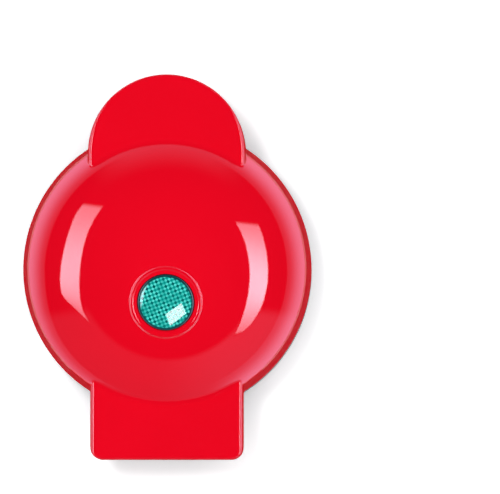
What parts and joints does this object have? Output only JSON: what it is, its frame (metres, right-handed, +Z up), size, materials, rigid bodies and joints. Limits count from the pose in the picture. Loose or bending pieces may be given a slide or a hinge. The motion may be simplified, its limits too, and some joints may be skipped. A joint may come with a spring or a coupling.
{
  "type": "mini waffle maker",
  "caption": "Round mini waffle maker with a domed hinged lid, front handle tab, hinge hood, lens and heart-shaped studded plates.",
  "frame": {"origin": "on the ground under the round body's centre, which lies within 0.75 mm of the middle of the overall box", "axes": "+Z up, +Y towards the hinge, -Y towards the handle, +X to the right seen from the handle"},
  "size_m": [0.126, 0.1679, 0.0706],
  "materials": {
    "red_case": "high gloss moulded",
    "black_case": "satin gloss moulded",
    "black_liner": "matt heat-resistant moulding",
    "plate_coating": "cast, dark non-stick coating",
    "element_steel": "oxidised sheath",
    "bright_steel": "zinc plated",
    "reflector_sheet": "rolled sheet",
    "lens_teal": "moulded clear prism lens",
    "white_plastic": "heat-resistant moulding",
    "lamp_glass": "clear",
    "resistor_body": "lacquered",
    "thermostat_case": "phenolic",
    "foot_rubber": "matt",
    "lead_sleeve": "braided sleeve",
    "wire_insulation": "silicone"
  },
  "bodies": {
    "base": {"base_shell": "black_case", "base_frame": "black_liner", "base_screws": "bright_steel", "lower_plate": "plate_coating", "lower_heating_element": "element_steel", "lower_element_pins": "bright_steel", "lower_reflector": "reflector_sheet", "lower_plate_screws": "bright_steel", "terminal_block": "white_plastic", "terminal_screws": "bright_steel", "cord_gland": "foot_rubber", "cord_clamp": "black_liner", "cord_clamp_screws": "bright_steel", "lower_hinge_lead": "lead_sleeve", "base_wiring": "wire_insulation", "front_left_foot": "foot_rubber", "front_right_foot": "foot_rubber", "rear_left_foot": "foot_rubber", "rear_right_foot": "foot_rubber"},
    "lid": {"lid_shell": "red_case", "lid_frame": "black_liner", "lid_frame_screws": "bright_steel", "indicator_lens": "lens_teal", "lens_retainer": "black_liner", "lamp_holder": "white_plastic", "indicator_lamp": "lamp_glass", "lamp_resistor": "resistor_body", "lamp_wiring": "wire_insulation", "upper_plate": "plate_coating", "upper_heating_element": "element_steel", "upper_element_pins": "bright_steel", "upper_reflector": "reflector_sheet", "upper_plate_screws": "bright_steel", "thermostat_cap": "reflector_sheet", "thermostat_body": "thermostat_case", "thermostat_bracket": "bright_steel", "thermostat_screws": "bright_steel", "thermal_fuse": "bright_steel", "fuse_clamp": "reflector_sheet", "left_hinge_pin": "bright_steel", "right_hinge_pin": "bright_steel", "upper_hinge_lead": "lead_sleeve", "lid_wiring": "wire_insulation"}
  },
  "joints": [
    {"name": "lid_hinge", "type": "hinge", "parent": "base", "child": "lid", "pos_m": [0, 0.0644, 0.039], "axis": [-1, 0, 0], "range_deg": [0, 98]}
  ]
}
